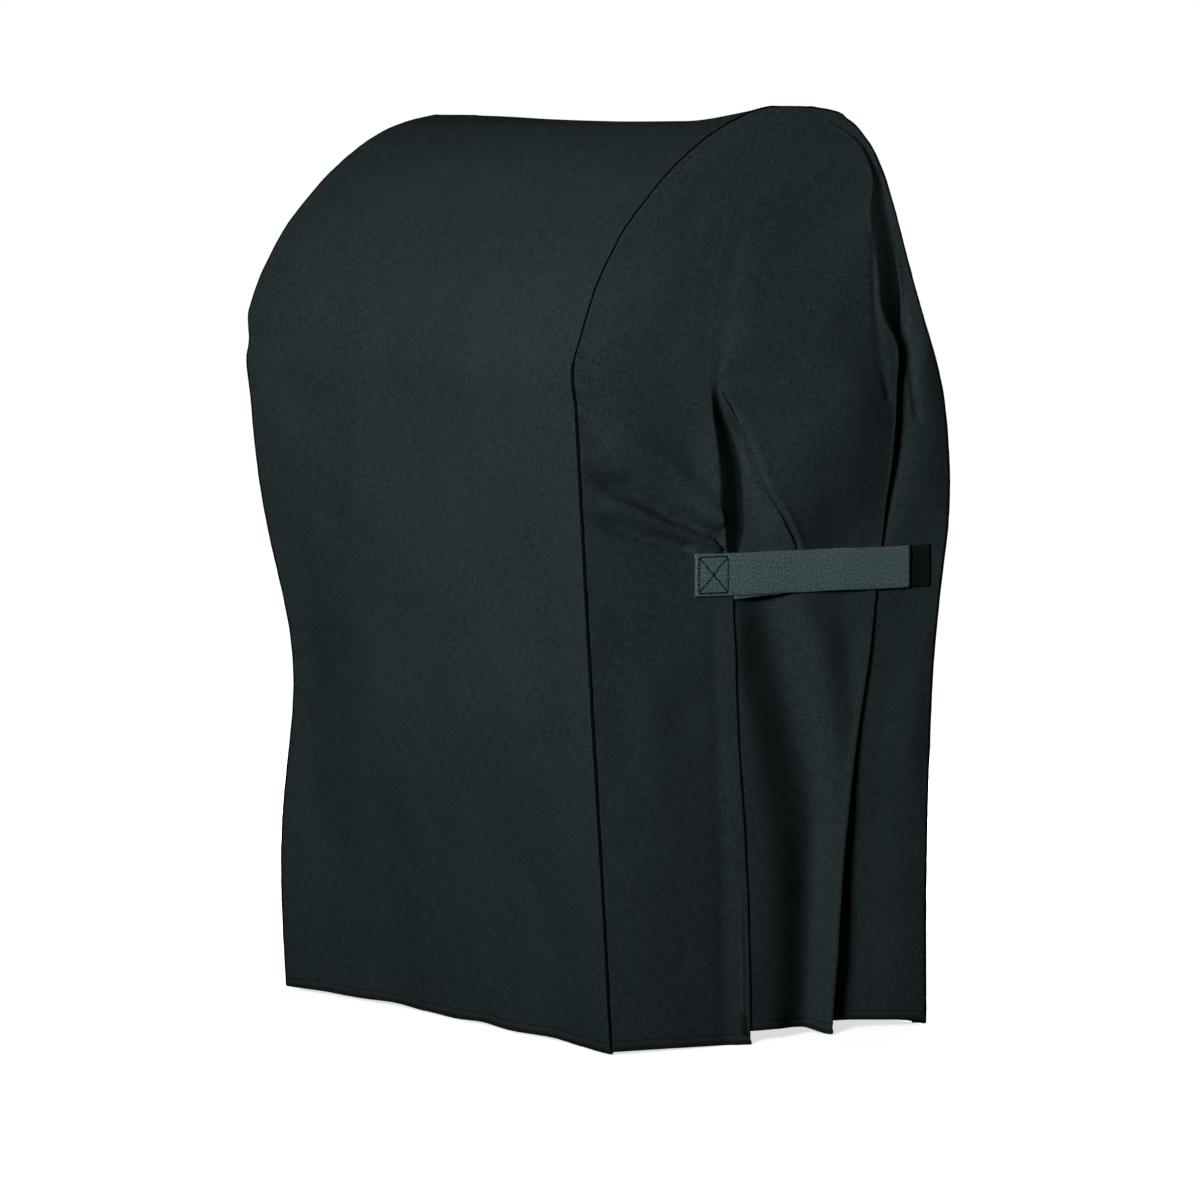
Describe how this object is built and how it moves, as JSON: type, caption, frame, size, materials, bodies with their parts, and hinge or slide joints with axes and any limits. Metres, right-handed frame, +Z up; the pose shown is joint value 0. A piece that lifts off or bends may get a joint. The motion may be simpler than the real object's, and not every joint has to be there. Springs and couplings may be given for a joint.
{
  "type": "grill cover",
  "caption": "Tall fitted cloth cover for a cart grill, with sewn side panels gathered into knife folds by a webbing strap that closes on a hook patch.",
  "frame": {"origin": "on the ground under the middle of the cover's bounding box, where the cover stands on its hem", "axes": "+Z up, +X to the cover's right as seen from the front, -Y towards the front of the grill"},
  "size_m": [0.766, 0.5449, 1.092],
  "materials": {
    "cover_cloth": "coated woven polyester, near-black slate, satin",
    "binding_tape": "matt woven tape",
    "webbing": "ribbed polyester webbing, slightly lighter slate",
    "loop_tape": "brushed loop pile",
    "hook_tape": "black moulded hooks, matt",
    "thread": "bonded polyester sewing thread"
  },
  "bodies": {
    "cover": {"main_panel": "cover_cloth", "right_side_panel": "cover_cloth", "left_side_panel": "cover_cloth", "front_hem_tape": "binding_tape", "back_hem_tape": "binding_tape", "right_hem_tape": "binding_tape", "left_hem_tape": "binding_tape", "right_seam_binding": "binding_tape", "left_seam_binding": "binding_tape", "right_strap_sewn_end": "webbing", "left_strap_sewn_end": "webbing", "right_strap_stitching": "thread", "left_strap_stitching": "thread", "right_hook_patch": "hook_tape", "left_hook_patch": "hook_tape"},
    "right_strap": {"right_strap": "webbing", "right_strap_loop_tape": "loop_tape"},
    "left_strap": {"left_strap": "webbing", "left_strap_loop_tape": "loop_tape"}
  },
  "joints": [
    {"name": "right_strap_peel", "type": "hinge", "parent": "cover", "child": "right_strap", "pos_m": [0.3582, -0.0505, 0.55], "axis": [0, 0, -1], "range_deg": [0, 120]},
    {"name": "left_strap_peel", "type": "hinge", "parent": "cover", "child": "left_strap", "pos_m": [-0.3582, -0.0505, 0.55], "axis": [0, 0, 1], "range_deg": [0, 120]}
  ]
}
